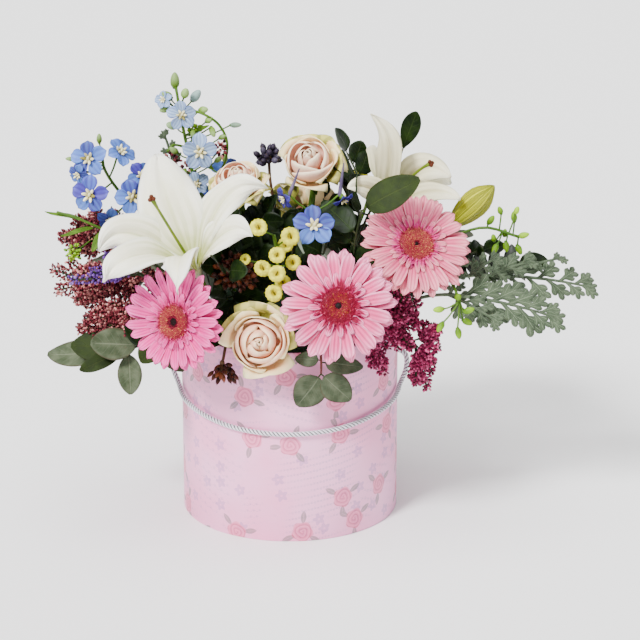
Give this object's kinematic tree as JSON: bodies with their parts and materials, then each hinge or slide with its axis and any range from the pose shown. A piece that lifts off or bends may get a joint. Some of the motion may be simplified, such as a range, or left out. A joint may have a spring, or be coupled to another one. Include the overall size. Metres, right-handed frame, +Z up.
{
  "type": "flower hat box",
  "caption": "Round pink hat box with a rope handle, filled with lilies, gerberas, roses, delphinium, rice flower, eucalyptus and dusty miller in floral foam.",
  "frame": {"origin": "centre of the box's foot, on the surface that it stands on", "axes": "+Z up, -Y to the front of the box, where the rope hangs, +X to the viewer's right"},
  "size_m": [0.4971, 0.3011, 0.4075],
  "materials": {
    "berry": "grey-purple berries",
    "blue_petal": "periwinkle blue petals with a cream centre",
    "board": "plain greyboard",
    "bud_green": "fresh green buds",
    "button_yellow": "pale lemon domes with a fine grain",
    "dark_leaf": "dark green glossy leaves",
    "dusty_leaf": "silver-green felted leaves",
    "eucalyptus": "grey-green waxy leaves",
    "foam": "dark green wet floral foam",
    "gerbera_disc": "rough disc, crimson to orange with a dark eye",
    "lily_bud": "yellow-green ribbed bud",
    "liner_plastic": "thin dark green moulded tray",
    "pale_petal": "pale blue and green buds and florets",
    "pink_petal": "pink petals from hot pink to pale pink",
    "pistil": "yellow-green style with a red-brown tip",
    "printed_paper": "pale pink printed cover paper with a satin sheen",
    "rice_magenta": "magenta beads",
    "rice_maroon": "maroon beads",
    "rope": "twisted silvery satin cord",
    "rose_petal": "blush petals with cream rims",
    "seed": "dark red-brown seeds",
    "statice": "purple papery florets",
    "stem": "fresh green stem",
    "white_petal": "creamy white petals, green towards the throat"
  },
  "bodies": {
    "root": {"berry_cluster_back": "berry", "box_base": "board", "box_wall": "printed_paper", "bud_spray_lower": "bud_green", "bud_spray_upper": "bud_green", "button_spray_back": "button_yellow", "button_spray_front": "button_yellow", "dark_leaf_right": "dark_leaf", "delphinium_back": "blue_petal", "delphinium_blue": "blue_petal", "delphinium_centre": "blue_petal", "delphinium_pale": "pale_petal", "dusty_miller_front": "dusty_leaf", "dusty_miller_middle": "dusty_leaf", "dusty_miller_top": "dusty_leaf", "eucalyptus_back_left": "eucalyptus", "eucalyptus_back_low": "eucalyptus", "eucalyptus_back_right": "eucalyptus", "eucalyptus_centre": "dark_leaf", "eucalyptus_front": "eucalyptus", "eucalyptus_left": "eucalyptus", "eucalyptus_right": "eucalyptus", "floral_foam": "foam", "gerbera_centre_disc": "gerbera_disc", "gerbera_centre_petals": "pink_petal", "gerbera_centre_stem": "stem", "gerbera_left_disc": "gerbera_disc", "gerbera_left_petals": "pink_petal", "gerbera_left_stem": "stem", "gerbera_right_disc": "gerbera_disc", "gerbera_right_petals": "pink_petal", "gerbera_right_stem": "stem", "lily_back_petals": "white_petal", "lily_back_pistil": "pistil", "lily_back_stem": "stem", "lily_bud": "lily_bud", "lily_bud_stem": "stem", "lily_front_petals": "white_petal", "lily_front_pistil": "pistil", "lily_front_stem": "stem", "liner_tray": "liner_plastic", "rice_flower_back": "rice_maroon", "rice_flower_lower": "rice_maroon", "rice_flower_middle": "rice_maroon", "rice_flower_right": "rice_magenta", "rice_flower_upper": "rice_maroon", "rope_handle": "rope", "rope_knot_left": "rope", "rope_knot_right": "rope", "rose_back_petals": "rose_petal", "rose_back_stem": "stem", "rose_front_petals": "rose_petal", "rose_front_stem": "stem", "rose_left_petals": "rose_petal", "rose_left_stem": "stem", "rose_top_petals": "rose_petal", "rose_top_stem": "stem", "seed_cluster_centre": "seed", "seed_cluster_front": "seed", "statice_left": "statice"}
  },
  "joints": []
}
